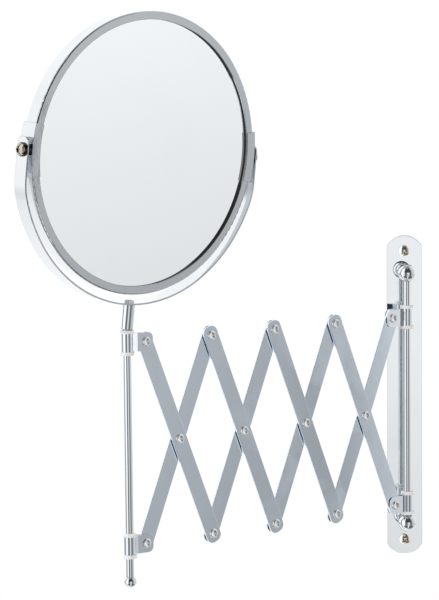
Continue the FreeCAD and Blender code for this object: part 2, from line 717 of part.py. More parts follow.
# a turned piece of the head has its X axis out of the plain glass
glass_turning = head * Placement(Vector(), along(Vector(0, -1, 0)))


def make_mirror_frame():
    """A channel bent into a ring round both glasses; its ends meet under the left saddle clip."""
    half, sheet = dim.frame_depth / 2, dim.frame_sheet
    outer, lip, edge = dim.frame_radius, dim.frame_lip_radius, dim.frame_edge_radius
    body = turned("mirror_frame", glass_turning, [
        (half, lip), (half, outer - edge, edge), (half - edge, outer), (edge - half, outer, edge),
        (-half, outer - edge), (-half, lip), (sheet - half, lip), (sheet - half, outer - sheet),
        (half - sheet, outer - sheet), (half - sheet, lip)])
    slit = new_sketch(body, "mirror_frame_slit", "XZ_Plane")
    gap = dim.frame_slit / 2
    draw_outline(slit, [(-half - 1, -gap), (half + 1, -gap), (half + 1, gap), (-half - 1, gap)])
    pocket(body, slit, outer + 1, reverse=True)
    holes = new_sketch(body, "mirror_frame_holes", "XZ_Plane")
    draw_circle(holes, 0, 0, dim.pivot_shank_radius)
    pocket(body, holes)


def make_glasses():
    half, sheet, rim = dim.frame_depth / 2, dim.frame_sheet, dim.glass_radius
    bezel = half - sheet
    front = bezel - dim.gasket_thickness
    bevel = dim.glass_bevel
    turned("glass_gasket", glass_turning, tube(front, bezel, dim.frame_lip_radius, rim))
    turned("plain_glass", glass_turning, [
        (front - dim.glass_thickness, 0), (front, 0), (front, rim - bevel), (front - bevel, rim),
        (front - dim.glass_thickness, rim)])
    back = sheet - half
    curve = dim.magnifier_curve
    sag = curve - chord_height(curve, rim)
    thick = dim.magnifier_thickness
    turned("magnifying_glass", glass_turning, [
        (back + sag, 0), (back + sag + thick, 0, curve), (back + thick, rim), (back, rim, -curve)])
    # the hollow glass rises towards its middle, so the spacer stands clear of it at its own inner edge
    rise = chord_height(curve, dim.spacer_inner_radius) - chord_height(curve, rim)
    turned("glass_spacer", glass_turning, tube(
        back + thick + rise + dim.side_gap, front - dim.glass_thickness, dim.spacer_inner_radius, rim))


def make_saddle_clip(name, side):
    """A short channel clipped over the frame, bored for the pivot screw."""
    placement = glass_turning * Placement(Vector(), Rotation(Vector(1, 0, 0), 0 if side > 0 else 180))
    body = new_body(name, placement)
    inside = dim.frame_depth / 2 + dim.saddle_clearance
    outside = inside + dim.saddle_sheet
    floor = dim.frame_radius + dim.saddle_clearance
    crown = floor + dim.saddle_sheet
    lip = dim.frame_lip_radius
    sketch = new_sketch(body, f"{name}_profile")
    draw_outline(sketch, [
        (outside, lip), (outside, crown), (-outside, crown), (-outside, lip), (-inside, lip),
        (-inside, floor), (inside, floor), (inside, lip)])
    revolve(body, sketch, dim.saddle_half_angle * 2)
    hole = new_sketch(body, f"{name}_hole", "XZ_Plane")
    draw_circle(hole, 0, 0, dim.pivot_shank_radius)
    pocket(body, hole)


def make_pivot_hardware():
    crown = dim.frame_radius + dim.saddle_clearance + dim.saddle_sheet
    arm_inside = dim.yoke_half_span - dim.yoke_thickness
    washer_start = dim.yoke_half_span + dim.side_gap
    head_start = washer_start + dim.pivot_washer_thickness
    # the square nut's corners reach the channel's round wall first
    nut_top = chord_height(dim.frame_radius - dim.frame_sheet, dim.pivot_nut_side / 2) - dim.side_gap
    nut_floor = nut_top - dim.pivot_nut_thickness
    spacers, washers = [], []
    for name, side in (("right", 1), ("left", -1)):
        direction = Vector(side, 0, 0)
        spot = head * Placement(direction * head_start.value, along(direction))
        screw(f"{name}_pivot_screw", spot, dim.pivot_shank_radius, as_size(0), dim.pivot_shank_radius,
              head_start - nut_floor, dim.pivot_head_radius, dim.pivot_head_height)
        shank = dim.pivot_shank_radius
        spacers.append(tube(crown * side, (arm_inside - dim.side_gap) * side, shank, dim.pivot_spacer_radius))
        washers.append(tube(washer_start * side, head_start * side, shank, dim.pivot_washer_radius))
    turned("pivot_spacers", head, *spacers)
    turned("pivot_washers", head, *washers)
    nuts = new_body("pivot_nuts", head)
    for side in (1, -1):
        sketch = new_sketch(nuts, f"pivot_nut_outline_{'right' if side > 0 else 'left'}", "YZ_Plane",
                            nut_floor if side > 0 else -nut_top)
        half = dim.pivot_nut_side / 2
        draw_outline(sketch, [(-half, -half), (half, -half), (half, half), (-half, half)])
        draw_circle(sketch, 0, 0, dim.pivot_shank_radius)
        pad(nuts, sketch, dim.pivot_nut_thickness)


# ---------------------------------------------------------------- build, check and write

def build():
    make_wall_plate()
    make_wall_rod()
    for name, side in (("upper", 1), ("lower", -1)):
        make_ball_post(f"{name}_ball_post", side)
        make_post_screw(f"{name}_post_screw", side)
        make_wall_screw(f"{name}_wall_screw", side)
    make_bracket("lower_wall", 0, 0, 1)
    make_bracket("upper_wall", 0, 1, -1)
    make_bracket("upper_mirror", 4, 1, 1)
    make_bracket("lower_mirror", 4, 0, -1)
    make_scissor()
    make_mirror_rod()
    make_rod_end_ball()
    make_ferrule()
    make_yoke()
    make_yoke_nut()
    make_mirror_frame()
    make_glasses()
    make_saddle_clip("right_saddle_clip", 1)
    make_saddle_clip("left_saddle_clip", -1)
    make_pivot_hardware()
    doc.recompute()


def check():
    for thing in doc.Objects:
        if "Invalid" in thing.State or "Error" in thing.State:
            raise RuntimeError(f"{thing.Name} failed: {thing.State}")
    for thing in exported:
        if thing.Shape.isNull() or not thing.Shape.isValid() or not thing.Shape.Solids:
            raise RuntimeError(f"{thing.Label} has no sound shape")


def write():
    os.makedirs("parts", exist_ok=True)
    for thing in exported:
        thing.Shape.exportStep(f"parts/{thing.Label}.step")
    print(len(exported), "parts written")


build()
check()
write()
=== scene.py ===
"""Finishes for the extendable shaving mirror: materials for each part, a studio around it and a camera.

The parts come from the packed model and stay where they are. Lengths are metres, X runs along the wall,
Y into it and Z up.
"""

import json
import math

import bpy
from bpy.props import FloatProperty, FloatVectorProperty, PointerProperty
from bpy.types import Operator, Panel, PropertyGroup
from mathutils import Matrix, Vector


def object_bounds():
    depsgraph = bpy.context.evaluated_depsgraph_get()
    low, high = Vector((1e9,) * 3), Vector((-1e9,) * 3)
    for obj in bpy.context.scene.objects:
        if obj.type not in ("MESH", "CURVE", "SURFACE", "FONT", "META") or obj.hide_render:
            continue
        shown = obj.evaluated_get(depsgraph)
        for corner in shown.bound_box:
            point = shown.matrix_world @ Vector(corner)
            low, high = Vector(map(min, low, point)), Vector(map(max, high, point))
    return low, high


bl_info = {
    "name": "Shaving Mirror Finishes",
    "version": (1, 0, 0),
    "blender": (4, 5, 0),
    "location": "View3D > Sidebar > Shaving Mirror",
    "description": "Puts chrome, glass and nylon finishes on an extendable shaving mirror and lights it",
    "category": "Object",
}

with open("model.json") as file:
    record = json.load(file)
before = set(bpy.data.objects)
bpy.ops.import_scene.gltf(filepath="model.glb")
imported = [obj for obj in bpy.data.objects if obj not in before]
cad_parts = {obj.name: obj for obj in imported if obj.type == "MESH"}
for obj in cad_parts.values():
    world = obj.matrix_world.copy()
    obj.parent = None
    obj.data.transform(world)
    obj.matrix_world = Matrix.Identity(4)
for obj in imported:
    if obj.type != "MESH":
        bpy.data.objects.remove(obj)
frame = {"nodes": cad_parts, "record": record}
CAD_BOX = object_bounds()

# What the polished metal reflects, level with the mirror. Each pair is a direction in degrees, from straight
# out of the wall (0) towards the mirror's right (90), and how bright the studio is there.
STUDIO_RING = (
    (-180, 1.30), (-140, 1.38), (-101, 1.35), (-97.5, 0.28), (-85, 0.27), (-80, 1.60), (-77, 1.68),
    (-46, 1.68), (-38, 1.33), (-29, 0.28), (-20, 0.20), (-10, 0.29), (-3, 0.42), (1, 0.74),
    (4, 0.92), (8, 0.99), (13, 1.50), (18, 1.20), (24, 0.77), (31, 0.70), (37, 0.38), (43, 0.12),
    (49, 0.11), (56, 0.42), (62, 0.64), (71, 0.68), (74.2, 0.47), (75.3, 1.04), (76.6, 1.03),
    (88, 0.92), (152, 1.20), (180, 1.30),
)
# The same by height: a direction's elevation in degrees, and the share of the ring's light left there.
STUDIO_HEIGHTS = (
    (-90, 1.00), (-24, 0.92), (-14, 0.81), (-9.5, 0.90), (-6.5, 0.99), (50, 1.00), (62, 0.50), (90, 0.45),
)
# Flags and soft boxes in the studio: left, right, bottom and top edges and blur in degrees, and brightness.
STUDIO_PANELS = (
    (-38, 45, 8, 62, 3, 0.08),
    (-60, 100, -65, -30, 4, 0.18),
    (2, 25, -70, -25, 3, 1.20),
    (-134, -110, -15, -2.5, 2, 0.05),
    (74.2, 76.4, -16, -3, 0.3, 0.38),
)
# The way that the mirror's plain side faces at rest.
HEAD_FRONT = (0.627, -0.774, -0.085)

# How bright smudged metal, metal in recesses under painted shade, and smeared glass are, as shares of the
# clean colour.
SMUDGED_METAL = 0.96
RECESS_SHADE_METAL = 0.06
SMEARED_GLASS = 0.985
# How far a moulded surface's roughness runs to either side of its middle value.
ROUGHNESS_SPREAD = 0.08
SENSOR_WIDTH_MM = 36.0


# ---------------------------------------------------------------- settings


class MetalColours(PropertyGroup):
    """Reflected colours of the bare and plated metals."""

    chrome: FloatVectorProperty(
        name="Chrome", description="Polished chrome on the rods, ball posts and ferrule",
        subtype="COLOR", size=3, min=0, max=1, default=(0.640, 0.670, 0.695))
    head: FloatVectorProperty(
        name="Head chrome", description="Chrome on the mirror's frame, its saddle clips and the yoke",
        subtype="COLOR", size=3, min=0, max=1, default=(0.645, 0.668, 0.690))
    # Painted shade: a darker chrome for the flats of the frame and yoke that face along the head's front,
    # with the same roughness as the rim.
    head_flat_shade: FloatVectorProperty(
        name="Head flat shade", description="Darker chrome painted as shade on the flats of the frame and yoke",
        subtype="COLOR", size=3, min=0, max=1, default=(0.440, 0.468, 0.496))
    plate: FloatVectorProperty(
        name="Plate chrome", description="Polished chrome on the wall plate",
        subtype="COLOR", size=3, min=0, max=1, default=(0.850, 0.885, 0.905))
    link: FloatVectorProperty(
        name="Link plating", description="Bright nickel on the flat links of the arm",
        subtype="COLOR", size=3, min=0, max=1, default=(0.650, 0.712, 0.780))
    strap: FloatVectorProperty(
        name="Strap plating", description="Bright nickel on the folded clips",
        subtype="COLOR", size=3, min=0, max=1, default=(0.630, 0.672, 0.722))
    rivet: FloatVectorProperty(
        name="Rivet", description="Domed rivet heads",
        subtype="COLOR", size=3, min=0, max=1, default=(0.860, 0.870, 0.880))
    screw: FloatVectorProperty(
        name="Screw nickel", description="Warm nickel on the screws",
        subtype="COLOR", size=3, min=0, max=1, default=(0.900, 0.830, 0.730))
    pivot: FloatVectorProperty(
        name="Pivot nickel", description="Darker nickel on the screws that the head turns on",
        subtype="COLOR", size=3, min=0, max=1, default=(0.440, 0.385, 0.330))
    dark_steel: FloatVectorProperty(
        name="Dark steel", description="Blackened spacers and washers at the mirror's pivots",
        subtype="COLOR", size=3, min=0, max=1, default=(0.080, 0.077, 0.074))
    zinc: FloatVectorProperty(
        name="Zinc", description="Zinc plated nuts",
        subtype="COLOR", size=3, min=0, max=1, default=(0.720, 0.735, 0.770))


class OtherColours(PropertyGroup):
    """Colours of the glass, the nylon and the board."""

    glass: FloatVectorProperty(
        name="Mirror glass", description="Silvered glass on both sides of the head",
        subtype="COLOR", size=3, min=0, max=1, default=(0.880, 0.907, 0.926))
    nylon: FloatVectorProperty(
        name="Nylon", description="Bushes on the rods and washers between the links",
        subtype="COLOR", size=3, min=0, max=1, default=(0.600, 0.605, 0.595))
    board: FloatVectorProperty(
        name="Board", description="Grey board between the two glasses",
        subtype="COLOR", size=3, min=0, max=1, default=(0.250, 0.245, 0.235))
    # Painted shadow: a black ring along the bezel's inner edge, where the bezel shades the plain glass.
    bezel_shadow_ring: FloatVectorProperty(
        name="Bezel shadow ring", description="Black ring between the bezel and the plain glass",
        subtype="COLOR", size=3, min=0, max=1, default=(0.012, 0.012, 0.013))
    floor: FloatVectorProperty(
        name="Floor", description="Plain floor of the studio",
        subtype="COLOR", size=3, min=0, max=1, default=(0.930, 0.930, 0.930))


class StudioSizes(PropertyGroup):
    """Sizes and strengths of the studio."""

    floor_drop: FloatProperty(
        name="Floor drop", description="Height of the mirror's lowest point above the floor",
        subtype="DISTANCE", unit="LENGTH", min=0.0, default=0.80)
    floor_radius: FloatProperty(
        name="Floor radius", description="Radius of the round floor",
        subtype="DISTANCE", unit="LENGTH", min=0.5, default=3.0)
    soft_light: FloatProperty(
        name="Soft light", description="Strength of the overhead light, in watts per square metre",
        min=0.0, default=3.4)


class CameraSettings(PropertyGroup):
    """Where the camera stands and how it points."""

    place: FloatVectorProperty(
        name="Place", description="Camera position", subtype="TRANSLATION", unit="LENGTH", size=3,
        default=(-0.1858, -1.6349, 0.2227))
    lens: FloatProperty(
        name="Lens", description="Focal length in millimetres on a 36 mm sensor", min=10, default=144.0)
    pitch: FloatProperty(
        name="Pitch", description="How far the camera looks down", subtype="ANGLE", unit="ROTATION",
        default=0.09455)
    yaw: FloatProperty(
        name="Yaw", description="How far the camera turns to the right of the wall's normal",
        subtype="ANGLE", unit="ROTATION", default=0.03615)
    roll: FloatProperty(
        name="Roll", description="Clockwise turn of the camera about its own line of sight",
        subtype="ANGLE", unit="ROTATION", default=0.00989)


# ---------------------------------------------------------------- node helpers


def add(tree, kind, **settings):
    """A new node. A setting is one of its properties, or else the value of the input socket of that name."""
    node = tree.nodes.new(kind)
    for name, value in settings.items():
        if name in node.bl_rna.properties:
            setattr(node, name, value)
        else:
            node.inputs[name.replace("_", " ")].default_value = value
    return node


def wire(tree, *pairs):
    """Joins each output socket to its input socket."""
    for source, target in pairs:
        tree.links.new(source, target)


def new_group(name, inputs, outputs):
    """A shader node group with float sockets. inputs maps a socket's name to its default."""
    tree = bpy.data.node_groups.new(name, "ShaderNodeTree")
    for label, value in inputs.items():
        tree.interface.new_socket(label, in_out="INPUT", socket_type="NodeSocketFloat").default_value = value
    for label in outputs:
        tree.interface.new_socket(label, in_out="OUTPUT", socket_type="NodeSocketFloat")
    return tree, tree.nodes.new("NodeGroupInput").outputs, tree.nodes.new("NodeGroupOutput").inputs


def polishing_group():
    """Faint polishing waves, fine buffing lines and the odd smudge that polished metal and glass show."""
    tree, given, made = new_group(
        "Polishing",
        {"Wave scale": 90.0, "Line scale": 900.0, "Smudge scale": 28.0, "Low roughness": 0.04,
         "High roughness": 0.12},
        ("Roughness", "Height", "Smudge"))
    place = add(tree, "ShaderNodeTexCoord").outputs["Object"]
    waves = add(tree, "ShaderNodeTexNoise", Detail=2.0, Roughness=0.5)
    stretch = add(tree, "ShaderNodeMapping", vector_type="POINT", Scale=(1.0, 1.0, 0.06))
    lines = add(tree, "ShaderNodeTexNoise", Detail=3.0, Roughness=0.6)
    smudges = add(tree, "ShaderNodeTexNoise", Detail=4.0, Roughness=0.55, Distortion=0.6)
    mask = add(tree, "ShaderNodeMapRange", From_Min=0.48, From_Max=0.72)
    fine = add(tree, "ShaderNodeMath", operation="MULTIPLY")
    fine.inputs[1].default_value = 0.12
    height = add(tree, "ShaderNodeMath", operation="ADD")
    rough = add(tree, "ShaderNodeMapRange")
    wire(tree,
         (place, waves.inputs["Vector"]), (given["Wave scale"], waves.inputs["Scale"]),
         (place, stretch.inputs["Vector"]), (stretch.outputs[0], lines.inputs["Vector"]),
         (given["Line scale"], lines.inputs["Scale"]),
         (place, smudges.inputs["Vector"]), (given["Smudge scale"], smudges.inputs["Scale"]),
         (smudges.outputs["Fac"], mask.inputs["Value"]),
         (lines.outputs["Fac"], fine.inputs[0]), (waves.outputs["Fac"], height.inputs[0]),
         (fine.outputs[0], height.inputs[1]),
         (mask.outputs[0], rough.inputs["Value"]), (given["Low roughness"], rough.inputs["To Min"]),
         (given["High roughness"], rough.inputs["To Max"]),
         (rough.outputs[0], made["Roughness"]), (height.outputs[0], made["Height"]),
         (mask.outputs[0], made["Smudge"]))
    return tree


def edge_group():
    """A mask that is 1 along outside edges, broken up by noise, and 0 on the faces; the metals use it to
    paint highlights and dark lines along edges.
    """
    tree, given, made = new_group(
        "Edge sheen and shade", {"Edge width": 0.0003, "Break scale": 400.0}, ("Edge",))
    bevel = add(tree, "ShaderNodeBevel", samples=4)
    geometry = add(tree, "ShaderNodeNewGeometry")
    same = add(tree, "ShaderNodeVectorMath", operation="DOT_PRODUCT")
    turn = add(tree, "ShaderNodeMapRange", From_Min=0.995, From_Max=0.90)
    place = add(tree, "ShaderNodeTexCoord").outputs["Object"]
    breaks = add(tree, "ShaderNodeTexNoise", Detail=3.0)
    gaps = add(tree, "ShaderNodeMapRange", From_Min=0.26, From_Max=0.48)
    edge = add(tree, "ShaderNodeMath", operation="MULTIPLY")
    wire(tree,
         (given["Edge width"], bevel.inputs["Radius"]),
         (bevel.outputs[0], same.inputs[0]), (geometry.outputs["Normal"], same.inputs[1]),
         (same.outputs["Value"], turn.inputs["Value"]),
         (place, breaks.inputs["Vector"]), (given["Break scale"], breaks.inputs["Scale"]),
         (breaks.outputs["Fac"], gaps.inputs["Value"]),
         (turn.outputs[0], edge.inputs[0]), (gaps.outputs[0], edge.inputs[1]),
         (edge.outputs[0], made["Edge"]))
    return tree


def grain_group():
    """Speckle for moulded, cast or pressed surfaces: a height and a mask that change over the surface."""
    tree, given, made = new_group("Speckle", {"Grain scale": 1500.0}, ("Height", "Mask"))
    place = add(tree, "ShaderNodeTexCoord").outputs["Object"]
    cells = add(tree, "ShaderNodeTexVoronoi", Randomness=1.0)
    noise = add(tree, "ShaderNodeTexNoise", Detail=3.0, Roughness=0.6)
    half = add(tree, "ShaderNodeMath", operation="MULTIPLY")
    half.inputs[1].default_value = 0.4
    wire(tree,
         (place, cells.inputs["Vector"]), (given["Grain scale"], cells.inputs["Scale"]),
         (place, noise.inputs["Vector"]), (given["Grain scale"], half.inputs[0]),
         (half.outputs[0], noise.inputs["Scale"]),
         (cells.outputs["Distance"], made["Height"]), (noise.outputs["Fac"], made["Mask"]))
    return tree


def facing_group():
    """A mask that is 1 on flats that face along an axis of the object, to either side, and 0 across it."""
    tree, given, made = new_group("Facing", {"X": 0.0, "Y": 0.0, "Z": 1.0}, ("Mask",))
    axis = add(tree, "ShaderNodeCombineXYZ")
    along = add(tree, "ShaderNodeVectorMath", operation="DOT_PRODUCT")
    either = add(tree, "ShaderNodeMath", operation="ABSOLUTE")
    mask = add(tree, "ShaderNodeMapRange", From_Min=0.80, From_Max=0.95)
    wire(tree,
         *((given[letter], axis.inputs[letter]) for letter in "XYZ"),
         (add(tree, "ShaderNodeTexCoord").outputs["Normal"], along.inputs[0]),
         (axis.outputs[0], along.inputs[1]),
         (along.outputs["Value"], either.inputs[0]), (either.outputs[0], mask.inputs["Value"]),
         (mask.outputs[0], made["Mask"]))
    return tree


def hollow_group():
    """A mask that is 1 down in slots and corners, used to paint shade into them, and 0 in the open."""
    tree, given, made = new_group("Hollows", {"Depth": 0.001}, ("Recess shade",))
    open_share = add(tree, "ShaderNodeAmbientOcclusion", samples=8, only_local=True)
    recess_shade = add(tree, "ShaderNodeMapRange", From_Min=0.80, From_Max=0.45)
    wire(tree,
         (given["Depth"], open_share.inputs["Distance"]), (open_share.outputs["AO"], recess_shade.inputs["Value"]),
         (recess_shade.outputs[0], made["Recess shade"]))
    return tree


GROUPS = {}


def placed(tree, maker, **values):
    """One of the shared groups, made the first time it is asked for, placed in a material."""
    if maker not in GROUPS:
        GROUPS[maker] = maker()
    node = add(tree, "ShaderNodeGroup", node_tree=GROUPS[maker])
    for name, value in values.items():
        node.inputs[name.replace("_", " ")].default_value = value
    return node


def new_material(name):
    """A node material with its Principled shader and output joined."""
    material = bpy.data.materials.new(name)
    material.use_nodes = True
    tree = material.node_tree
    return material, tree, tree.nodes["Principled BSDF"]


def mixed(tree, mask, plain, marked):
    """Colour that goes from plain to marked as the mask goes from 0 to 1. plain may be an output socket."""
    mix = add(tree, "ShaderNodeMix", data_type="RGBA")
    wire(tree, (mask, mix.inputs[0]))
    if isinstance(plain, bpy.types.NodeSocket):
        wire(tree, (plain, mix.inputs[6]))
    else:
        mix.inputs[6].default_value = (*plain, 1)
    mix.inputs[7].default_value = (*marked, 1)
    return mix.outputs[2]


def shade(colour, factor):
    """The colour made darker or lighter, kept within 0 to 1."""
    return tuple(min(1.0, c * factor) for c in colour)


def metal(name, colour, low, high, wave=0.00002, edge=1.25, edge_width=0.0003, hollow=0.0, face=None):
    """A plated metal: polishing waves in its normal, smudges in its roughness, and edges painted lighter as a
    highlight, or darker as shade, by the edge factor.

    Above 0, hollow is how deep a recess must be to be painted dark as shade. face is an axis and the darker
    colour painted as shade on the flats that lie across it.
    """
    material, tree, shader = new_material(name)
    marks = placed(tree, polishing_group, Low_roughness=low, High_roughness=high)
    edges = placed(tree, edge_group, Edge_width=edge_width)
    base = mixed(tree, marks.outputs["Smudge"], colour, shade(colour, SMUDGED_METAL))
    # Painted shade: flats that face along the axis take the darker colour.
    if face:
        axis, face_colour = face
        flats = placed(tree, facing_group, X=axis[0], Y=axis[1], Z=axis[2])
        base = mixed(tree, flats.outputs["Mask"], base, face_colour)
    # Painted edge light: edges take the colour times edge, a painted highlight above 1 and a painted dark
    # line below it.
    base = mixed(tree, edges.outputs["Edge"], base, shade(colour, edge))
    # Painted shade: recesses deeper than hollow are darkened almost to black.
    if hollow:
        recess_shade = placed(tree, hollow_group, Depth=hollow)
        base = mixed(tree, recess_shade.outputs["Recess shade"], base, shade(colour, RECESS_SHADE_METAL))
    bump = add(tree, "ShaderNodeBump", Strength=1.0, Distance=wave)
    shader.inputs["Metallic"].default_value = 1.0
    wire(tree,
         (base, shader.inputs["Base Color"]),
         (marks.outputs["Roughness"], shader.inputs["Roughness"]),
         (marks.outputs["Height"], bump.inputs["Height"]), (bump.outputs[0], shader.inputs["Normal"]))
    return material


def silvered_glass(name, colour):
    """Mirror glass: a silvered back under clear glass, with the faint smears that wiping leaves."""
    material, tree, shader = new_material(name)
    marks = placed(tree, polishing_group, Wave_scale=14.0, Smudge_scale=16.0, Low_roughness=0.004,
                   High_roughness=0.03)
    bump = add(tree, "ShaderNodeBump", Strength=1.0, Distance=0.000004)
    shader.inputs["Metallic"].default_value = 1.0
    shader.inputs["Coat Weight"].default_value = 0.35
    shader.inputs["Coat Roughness"].default_value = 0.01
    smeared = mixed(tree, marks.outputs["Smudge"], colour, shade(colour, SMEARED_GLASS))
    wire(tree,
         (smeared, shader.inputs["Base Color"]),
         (marks.outputs["Roughness"], shader.inputs["Roughness"]),
         (marks.outputs["Height"], bump.inputs["Height"]), (bump.outputs[0], shader.inputs["Normal"]))
    return material


def moulded(name, colour, rough, grain_scale, depth, mottle=0.93):
    """A moulded or pressed matt stuff with a speckled surface."""
    material, tree, shader = new_material(name)
    grain = placed(tree, grain_group, Grain_scale=grain_scale)
    bump = add(tree, "ShaderNodeBump", Strength=0.6, Distance=depth)
    spread = add(tree, "ShaderNodeMapRange", To_Min=rough - ROUGHNESS_SPREAD,
                 To_Max=rough + ROUGHNESS_SPREAD)
    wire(tree,
         (mixed(tree, grain.outputs["Mask"], shade(colour, mottle), colour), shader.inputs["Base Color"]),
         (grain.outputs["Mask"], spread.inputs["Value"]),
         (spread.outputs[0], shader.inputs["Roughness"]),
         (grain.outputs["Height"], bump.inputs["Height"]), (bump.outputs[0], shader.inputs["Normal"]))
    return material


def local_axis(node, direction):
    """A direction at rest, in the CAD node's own axes."""
    return frame["nodes"][node].matrix_world.to_3x3().inverted() @ Vector(direction)


MATERIALS = {}


def finish_for(slot):
    """The material for one of the part's material slots, made once."""
    metals, others = bpy.context.scene.mirror_metals, bpy.context.scene.mirror_others
    makers = {
        "chrome": lambda: metal("Polished chrome", metals.chrome, 0.02, 0.05, edge=0.15, edge_width=0.0005),
        # The head's flats get a darker colour as painted shade.
        "head_chrome": lambda: metal(
            "Head chrome", metals.head, 0.02, 0.05, edge=0.15, edge_width=0.0005,
            face=(local_axis("mirror_frame", HEAD_FRONT), metals.head_flat_shade)),
        "plate_chrome": lambda: metal("Wall plate chrome", metals.plate, 0.02, 0.06, wave=0.00001),
        "link_chrome": lambda: metal("Link plating", metals.link, 0.10, 0.20, wave=0.00001, edge=1.5),
        "strap_chrome": lambda: metal("Strap plating", metals.strap, 0.03, 0.08, edge=1.5),
        "rivet": lambda: metal("Rivet metal", metals.rivet, 0.28, 0.42, edge=1.1),
        "screw_nickel": lambda: metal("Screw nickel", metals.screw, 0.14, 0.26, edge=1.2, hollow=0.0012),
        "pivot_nickel": lambda: metal("Pivot nickel", metals.pivot, 0.10, 0.20, edge=1.3, hollow=0.0012),
        "dark_steel": lambda: metal("Dark steel", metals.dark_steel, 0.20, 0.35, edge=2.0),
        "zinc_nut": lambda: metal("Zinc", metals.zinc, 0.22, 0.38, edge=1.2),
        "plain_mirror": lambda: silvered_glass("Plain mirror glass", others.glass),
        "magnifying_mirror": lambda: silvered_glass("Magnifying mirror glass", others.glass),
        "nylon": lambda: moulded("White nylon", others.nylon, 0.38, 1800.0, 0.00002, mottle=0.98),
        "spacer_board": lambda: moulded("Grey board", others.board, 0.85, 900.0, 0.0001, mottle=0.8),
        # Black ring painted as the bezel's shadow on the plain glass.
        "gasket": lambda: moulded("Black bezel shadow", others.bezel_shadow_ring, 0.55, 1200.0, 0.00002, mottle=0.8),
    }
    if slot not in MATERIALS:
        MATERIALS[slot] = makers[slot]()
    return MATERIALS[slot]


# ---------------------------------------------------------------- pieces


def slot_of(node):
    """The record's material slot of a CAD node."""
    for part in frame["record"]["subparts"]:
        if node == part["node"]:
            return part["material_slot"]
    raise RuntimeError(f"no material slot is named for {node}")


def finish(*nodes, slot=None):
    """Gives each CAD node its own slot's material, or the named slot's."""
    for name in nodes:
        mesh = frame["nodes"][name].data
        mesh.materials.clear()
        mesh.materials.append(finish_for(slot or slot_of(name)))


def named(*words):
    """The CAD nodes whose names hold any of the words, in order."""
    return [n for n in sorted(frame["nodes"]) if any(w in n for w in words)]


class SHAVING_OT_wall_mount(Operator):
    """Finishes the wall plate, its rod, the two ball posts and their screws"""

    bl_idname = "shaving.wall_mount"
    bl_label = "Wall mount"

    def execute(self, context):
        finish("wall_plate", "wall_rod", *named("ball_post", "post_screw", "wall_screw"))
        return {"FINISHED"}


class SHAVING_OT_brackets(Operator):
    """Finishes the folded clips that turn on the rods, with their nylon bushes and rivets"""

    bl_idname = "shaving.brackets"
    bl_label = "Brackets"

    def execute(self, context):
        finish(*named("wall_clip", "mirror_clip", "_bushes", "wall_rivet", "mirror_rivet"))
        return {"FINISHED"}


class SHAVING_OT_links(Operator):
    """Finishes the crossed links of the arm"""

    bl_idname = "shaving.links"
    bl_label = "Links"

    def execute(self, context):
        finish(*named("front_link", "back_link"))
        return {"FINISHED"}


class SHAVING_OT_rivets(Operator):
    """Finishes the rivets and nylon washers that hold the links together"""

    bl_idname = "shaving.rivets"
    bl_label = "Rivets and washers"

    def execute(self, context):
        finish(*named("middle_rivet", "upper_rivet", "lower_rivet", "link_washers"))
        return {"FINISHED"}


class SHAVING_OT_stem(Operator):
    """Finishes the bent rod, its end ball, the ferrule and the yoke with its nut"""

    bl_idname = "shaving.stem"
    bl_label = "Stem and yoke"

    def execute(self, context):
        finish("mirror_rod", "rod_end_ball", "ferrule", "yoke_nut")
        finish("yoke", slot="head_chrome")
        return {"FINISHED"}


class SHAVING_OT_head(Operator):
    """Finishes the mirror frame, both glasses, the board between them and the black ring painted as the
    bezel's shadow
    """

    bl_idname = "shaving.head"
    bl_label = "Mirror head"

    def execute(self, context):
        finish("plain_glass", "magnifying_glass", "glass_spacer", "glass_gasket")
        finish("mirror_frame", slot="head_chrome")
        return {"FINISHED"}


class SHAVING_OT_pivots(Operator):
    """Finishes the saddle clips, screws, spacers, washers and nuts that the head turns on"""

    bl_idname = "shaving.pivots"
    bl_label = "Head pivots"

    def execute(self, context):
        finish("pivot_spacers", "pivot_washers", "pivot_nuts", *named("pivot_screw"))
        finish(*named("saddle_clip"), slot="head_chrome")
        return {"FINISHED"}


# ---------------------------------------------------------------- studio


def ramp(tree, stops, top):
    """A colour ramp through (position, brightness) stops, as shares of top."""
    node = add(tree, "ShaderNodeValToRGB")
    elements = node.color_ramp.elements
    while len(elements) > 1:
        elements.remove(elements[-1])
    for index, (position, level) in enumerate(stops):
        element = elements[0] if index == 0 else elements.new(position)
        element.position = position
        element.color = (level / top, level / top, level / top, 1)
    return node


def in_degrees(tree, angle):
    """The angle, given in radians, in degrees."""
    node = add(tree, "ShaderNodeMath", operation="DEGREES")
    wire(tree, (angle, node.inputs[0]))
    return node.outputs[0]


def panel_group():
    """A mask that is 1 inside a panel that runs between two azimuths and two elevations, all in degrees."""
    tree, given, made = new_group(
        "Studio panel", {"Azimuth": 0.0, "Elevation": 0.0, "Left": 0.0, "Right": 0.0, "Bottom": 0.0,
                         "Top": 0.0, "Blur": 1.0}, ("Mask",))
    sides = []
    for low, high in (("Left", "Azimuth"), ("Azimuth", "Right"),
                      ("Bottom", "Elevation"), ("Elevation", "Top")):
        inside = add(tree, "ShaderNodeMath", operation="SUBTRACT")
        side = add(tree, "ShaderNodeMath", operation="DIVIDE", use_clamp=True)
        wire(tree, (given[high], inside.inputs[0]), (given[low], inside.inputs[1]),
             (inside.outputs[0], side.inputs[0]), (given["Blur"], side.inputs[1]))
        sides.append(side.outputs[0])
    mask = sides[0]
    for side in sides[1:]:
        both = add(tree, "ShaderNodeMath", operation="MULTIPLY")
        wire(tree, (mask, both.inputs[0]), (side, both.inputs[1]))
        mask = both.outputs[0]
    wire(tree, (mask, made["Mask"]))
    return tree


